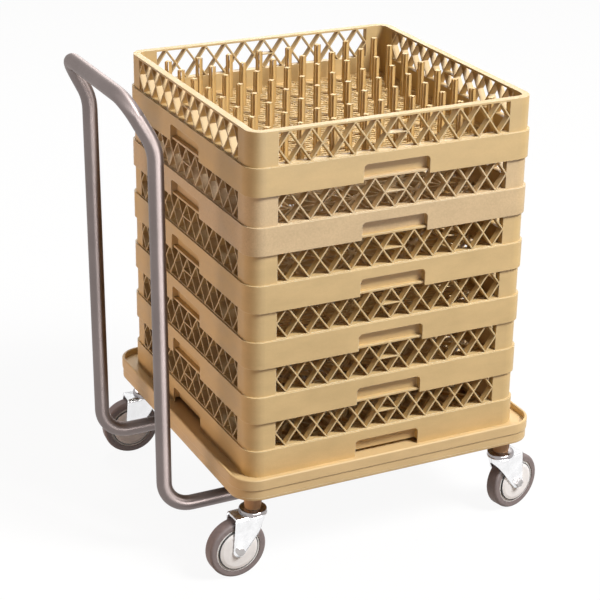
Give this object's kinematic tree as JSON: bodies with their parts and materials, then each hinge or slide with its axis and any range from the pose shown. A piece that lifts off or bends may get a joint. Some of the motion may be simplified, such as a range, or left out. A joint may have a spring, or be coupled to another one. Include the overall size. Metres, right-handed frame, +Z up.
{
  "type": "glass rack dolly",
  "caption": "Rolling dolly with a moulded deck, swivel casters and a bent tube push handle, carrying a stack of nested square lattice dish racks, the top one with pegs.",
  "frame": {"origin": "on the floor, under the middle of the part's bounding box", "axes": "+Z up, X along the front with the push handle at -X, the pictured front faces -Y"},
  "size_m": [0.7238, 0.55, 0.7975],
  "materials": {
    "rack": "satin moulded polypropylene",
    "rack_rosy": "satin moulded polypropylene, a rosier batch",
    "peg": "satin moulded polypropylene",
    "deck": "satin moulded polyethylene",
    "saddle": "moulded stand-off block",
    "sleeve": "moulded socket sleeve",
    "tube": "brushed tube",
    "plug": "moulded end plug",
    "strap": "bent strip",
    "fastener": "zinc plated",
    "stem": "dark zinc plate",
    "bearing": "polished balls and cage",
    "fork": "grey zinc plate",
    "bush": "sintered bush",
    "guard": "pale grey disc",
    "core": "white moulded wheel centre",
    "tyre": "dark grey tread"
  },
  "bodies": {
    "dolly": {"deck": "deck", "socket_sleeves": "sleeve", "handle_tube": "tube", "handle_plugs": "plug", "saddle_blocks": "saddle", "tube_straps": "strap", "strap_screws": "fastener", "stem_front_left": "stem", "stem_front_right": "stem", "stem_back_left": "stem", "stem_back_right": "stem"},
    "rack_1_unit": {"rack_1": "rack"},
    "rack_2_unit": {"rack_2": "rack"},
    "rack_3_unit": {"rack_3": "rack"},
    "rack_4_unit": {"rack_4": "rack"},
    "rack_5_unit": {"rack_5": "rack_rosy"},
    "rack_6_unit": {"rack_6": "rack", "pegs": "peg"},
    "swivel_front_left_unit": {"fork_front_left": "fork", "bearing_front_left": "bearing", "axle_front_left": "fastener", "nut_front_left": "fastener", "bush_front_left": "bush", "guards_front_left": "guard"},
    "wheel_front_left_unit": {"core_front_left": "core", "tyre_front_left": "tyre"},
    "swivel_front_right_unit": {"fork_front_right": "fork", "bearing_front_right": "bearing", "axle_front_right": "fastener", "nut_front_right": "fastener", "bush_front_right": "bush", "guards_front_right": "guard"},
    "wheel_front_right_unit": {"core_front_right": "core", "tyre_front_right": "tyre"},
    "swivel_back_left_unit": {"fork_back_left": "fork", "bearing_back_left": "bearing", "axle_back_left": "fastener", "nut_back_left": "fastener", "bush_back_left": "bush", "guards_back_left": "guard"},
    "wheel_back_left_unit": {"core_back_left": "core", "tyre_back_left": "tyre"},
    "swivel_back_right_unit": {"fork_back_right": "fork", "bearing_back_right": "bearing", "axle_back_right": "fastener", "nut_back_right": "fastener", "bush_back_right": "bush", "guards_back_right": "guard"},
    "wheel_back_right_unit": {"core_back_right": "core", "tyre_back_right": "tyre"}
  },
  "joints": [
    {"name": "lift_rack_1", "type": "slide", "parent": "dolly", "child": "rack_1_unit", "axis": [0, 0, 1], "range_m": [0, 0.12]},
    {"name": "lift_rack_2", "type": "slide", "parent": "rack_1_unit", "child": "rack_2_unit", "axis": [0, 0, 1], "range_m": [0, 0.12]},
    {"name": "lift_rack_3", "type": "slide", "parent": "rack_2_unit", "child": "rack_3_unit", "axis": [0, 0, 1], "range_m": [0, 0.12]},
    {"name": "lift_rack_4", "type": "slide", "parent": "rack_3_unit", "child": "rack_4_unit", "axis": [0, 0, 1], "range_m": [0, 0.12]},
    {"name": "lift_rack_5", "type": "slide", "parent": "rack_4_unit", "child": "rack_5_unit", "axis": [0, 0, 1], "range_m": [0, 0.12]},
    {"name": "lift_rack_6", "type": "slide", "parent": "rack_5_unit", "child": "rack_6_unit", "axis": [0, 0, 1], "range_m": [0, 0.12]},
    {"name": "swivel_front_left", "type": "hinge", "parent": "dolly", "child": "swivel_front_left_unit", "pos_m": [-0.18756, -0.234, 0.13], "axis": [0, 0, 1], "continuous": true},
    {"name": "roll_front_left", "type": "hinge", "parent": "swivel_front_left_unit", "child": "wheel_front_left_unit", "pos_m": [-0.21853, -0.23541, 0.05], "axis": [0.0454, -0.999, 0], "continuous": true},
    {"name": "swivel_front_right", "type": "hinge", "parent": "dolly", "child": "swivel_front_right_unit", "pos_m": [0.28044, -0.234, 0.13], "axis": [0, 0, 1], "continuous": true},
    {"name": "roll_front_right", "type": "hinge", "parent": "swivel_front_right_unit", "child": "wheel_front_right_unit", "pos_m": [0.31064, -0.22703, 0.05], "axis": [-0.225, 0.9744, 0], "continuous": true},
    {"name": "swivel_back_left", "type": "hinge", "parent": "dolly", "child": "swivel_back_left_unit", "pos_m": [-0.18756, 0.234, 0.13], "axis": [0, 0, 1], "continuous": true},
    {"name": "roll_back_left", "type": "hinge", "parent": "swivel_back_left_unit", "child": "wheel_back_left_unit", "pos_m": [-0.21843, 0.23686, 0.05], "axis": [-0.0924, -0.9957, 0], "continuous": true},
    {"name": "swivel_back_right", "type": "hinge", "parent": "dolly", "child": "swivel_back_right_unit", "pos_m": [0.28044, 0.234, 0.13], "axis": [0, 0, 1], "continuous": true},
    {"name": "roll_back_right", "type": "hinge", "parent": "swivel_back_right_unit", "child": "wheel_back_right_unit", "pos_m": [0.31114, 0.23831, 0.05], "axis": [-0.1392, 0.9903, 0], "continuous": true}
  ]
}
